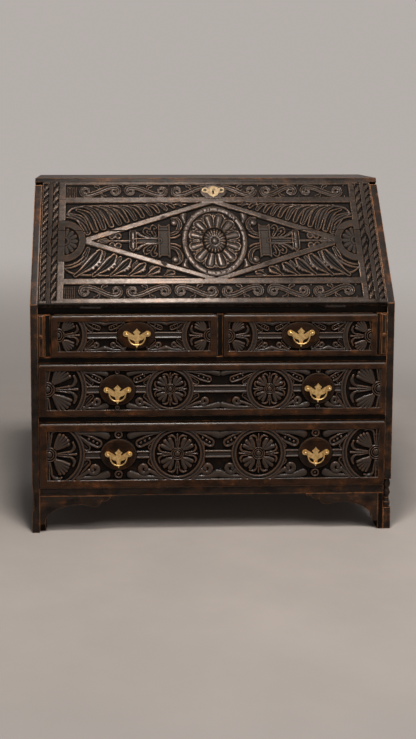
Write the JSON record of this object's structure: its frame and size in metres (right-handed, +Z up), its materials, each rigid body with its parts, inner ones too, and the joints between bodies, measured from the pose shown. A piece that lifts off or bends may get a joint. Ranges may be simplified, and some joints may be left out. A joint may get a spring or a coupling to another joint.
{
  "type": "writing bureau",
  "caption": "Slant-front writing bureau in dark carved oak: hinged fall resting on pull-out lopers, short and long drawers with batwing handles, and a pigeonhole interior.",
  "frame": {"origin": "on the floor, under the centre of the whole bureau's box", "axes": "+X to the right as one faces the front, +Y to the back, +Z up"},
  "size_m": [1.07, 0.5572, 1.04],
  "materials": {
    "dark_oak": "old dark polish, worn on the edges",
    "plain_oak": "unpolished, darkened with age",
    "brass": "aged, half bright",
    "iron": "forged, dull"
  },
  "bodies": {
    "carcase": {"left_side": "dark_oak", "right_side": "dark_oak", "top_board": "dark_oak", "fall_rail": "dark_oak", "desk_bed": "dark_oak", "upper_dustboard": "dark_oak", "lower_dustboard": "dark_oak", "base_board": "plain_oak", "bottom_rail": "dark_oak", "drawer_divider": "dark_oak", "left_partition": "dark_oak", "right_partition": "dark_oak", "left_bracket_foot": "dark_oak", "right_bracket_foot": "dark_oak", "left_foot_block": "dark_oak", "right_foot_block": "dark_oak", "back_board": "plain_oak", "small_drawer_case": "dark_oak", "pigeonholes": "dark_oak", "left_hinge_bed_leaf": "brass", "right_hinge_bed_leaf": "brass"},
    "fall": {"fall_upper_board": "dark_oak", "fall_lower_board": "dark_oak", "fall_left_cleat": "dark_oak", "fall_right_cleat": "dark_oak", "fall_escutcheon": "brass", "fall_lock": "iron", "left_hinge_fall_leaf": "brass", "right_hinge_fall_leaf": "brass"},
    "lock_bolt": {"fall_lock_bolt": "iron"},
    "left_loper": {"left_loper": "dark_oak"},
    "right_loper": {"right_loper": "dark_oak"},
    "short_left_drawer_handle_bail": {"short_left_drawer_handle_bail": "brass"},
    "short_left_drawer": {"short_left_drawer_front": "dark_oak", "short_left_drawer_carcase": "plain_oak", "short_left_drawer_bottom": "plain_oak", "short_left_drawer_handle_plate": "brass"},
    "short_right_drawer_handle_bail": {"short_right_drawer_handle_bail": "brass"},
    "short_right_drawer": {"short_right_drawer_front": "dark_oak", "short_right_drawer_carcase": "plain_oak", "short_right_drawer_bottom": "plain_oak", "short_right_drawer_handle_plate": "brass"},
    "upper_drawer_left_handle_bail": {"upper_drawer_left_handle_bail": "brass"},
    "upper_drawer_right_handle_bail": {"upper_drawer_right_handle_bail": "brass"},
    "upper_drawer": {"upper_drawer_front": "dark_oak", "upper_drawer_carcase": "plain_oak", "upper_drawer_bottom": "plain_oak", "upper_drawer_left_handle_plate": "brass", "upper_drawer_right_handle_plate": "brass"},
    "lower_drawer_left_handle_bail": {"lower_drawer_left_handle_bail": "brass"},
    "lower_drawer_right_handle_bail": {"lower_drawer_right_handle_bail": "brass"},
    "lower_drawer": {"lower_drawer_front": "dark_oak", "lower_drawer_carcase": "plain_oak", "lower_drawer_bottom": "plain_oak", "lower_drawer_left_handle_plate": "brass", "lower_drawer_right_handle_plate": "brass"},
    "small_drawer_1": {"small_drawer_1": "plain_oak"},
    "small_drawer_2": {"small_drawer_2": "plain_oak"},
    "small_drawer_3": {"small_drawer_3": "plain_oak"},
    "small_drawer_4": {"small_drawer_4": "plain_oak"}
  },
  "joints": [
    {"name": "fall_hinge", "type": "hinge", "parent": "carcase", "child": "fall", "pos_m": [0, -0.24759, 0.676], "axis": [1, 0, 0], "range_deg": [0, 128.56]},
    {"name": "lock_bolt_slide", "type": "slide", "parent": "fall", "child": "lock_bolt", "axis": [0, 0.6233, 0.782], "range_m": [0, 0.008]},
    {"name": "left_loper_slide", "type": "slide", "parent": "carcase", "child": "left_loper", "axis": [0, -1, 0], "range_m": [0, 0.3]},
    {"name": "right_loper_slide", "type": "slide", "parent": "carcase", "child": "right_loper", "axis": [0, -1, 0], "range_m": [0, 0.3]},
    {"name": "short_left_drawer_slide", "type": "slide", "parent": "carcase", "child": "short_left_drawer", "axis": [0, -1, 0], "range_m": [0, 0.36]},
    {"name": "short_left_drawer_handle_bail_swing", "type": "hinge", "parent": "short_left_drawer", "child": "short_left_drawer_handle_bail", "pos_m": [-0.2245, -0.2738, 0.6], "axis": [-1, 0, 0], "range_deg": [0, 80]},
    {"name": "short_right_drawer_slide", "type": "slide", "parent": "carcase", "child": "short_right_drawer", "axis": [0, -1, 0], "range_m": [0, 0.36]},
    {"name": "short_right_drawer_handle_bail_swing", "type": "hinge", "parent": "short_right_drawer", "child": "short_right_drawer_handle_bail", "pos_m": [0.2575, -0.2738, 0.6], "axis": [-1, 0, 0], "range_deg": [0, 80]},
    {"name": "upper_drawer_slide", "type": "slide", "parent": "carcase", "child": "upper_drawer", "axis": [0, -1, 0], "range_m": [0, 0.38]},
    {"name": "upper_drawer_left_handle_bail_swing", "type": "hinge", "parent": "upper_drawer", "child": "upper_drawer_left_handle_bail", "pos_m": [-0.2815, -0.2738, 0.4335], "axis": [-1, 0, 0], "range_deg": [0, 80]},
    {"name": "upper_drawer_right_handle_bail_swing", "type": "hinge", "parent": "upper_drawer", "child": "upper_drawer_right_handle_bail", "pos_m": [0.31, -0.2738, 0.4335], "axis": [-1, 0, 0], "range_deg": [0, 80]},
    {"name": "lower_drawer_slide", "type": "slide", "parent": "carcase", "child": "lower_drawer", "axis": [0, -1, 0], "range_m": [0, 0.38]},
    {"name": "lower_drawer_left_handle_bail_swing", "type": "hinge", "parent": "lower_drawer", "child": "lower_drawer_left_handle_bail", "pos_m": [-0.279, -0.2738, 0.2405], "axis": [-1, 0, 0], "range_deg": [0, 80]},
    {"name": "lower_drawer_right_handle_bail_swing", "type": "hinge", "parent": "lower_drawer", "child": "lower_drawer_right_handle_bail", "pos_m": [0.3055, -0.2738, 0.2405], "axis": [-1, 0, 0], "range_deg": [0, 80]},
    {"name": "small_drawer_1_slide", "type": "slide", "parent": "carcase", "child": "small_drawer_1", "axis": [0, -1, 0], "range_m": [0, 0.16]},
    {"name": "small_drawer_2_slide", "type": "slide", "parent": "carcase", "child": "small_drawer_2", "axis": [0, -1, 0], "range_m": [0, 0.16]},
    {"name": "small_drawer_3_slide", "type": "slide", "parent": "carcase", "child": "small_drawer_3", "axis": [0, -1, 0], "range_m": [0, 0.16]},
    {"name": "small_drawer_4_slide", "type": "slide", "parent": "carcase", "child": "small_drawer_4", "axis": [0, -1, 0], "range_m": [0, 0.16]}
  ]
}
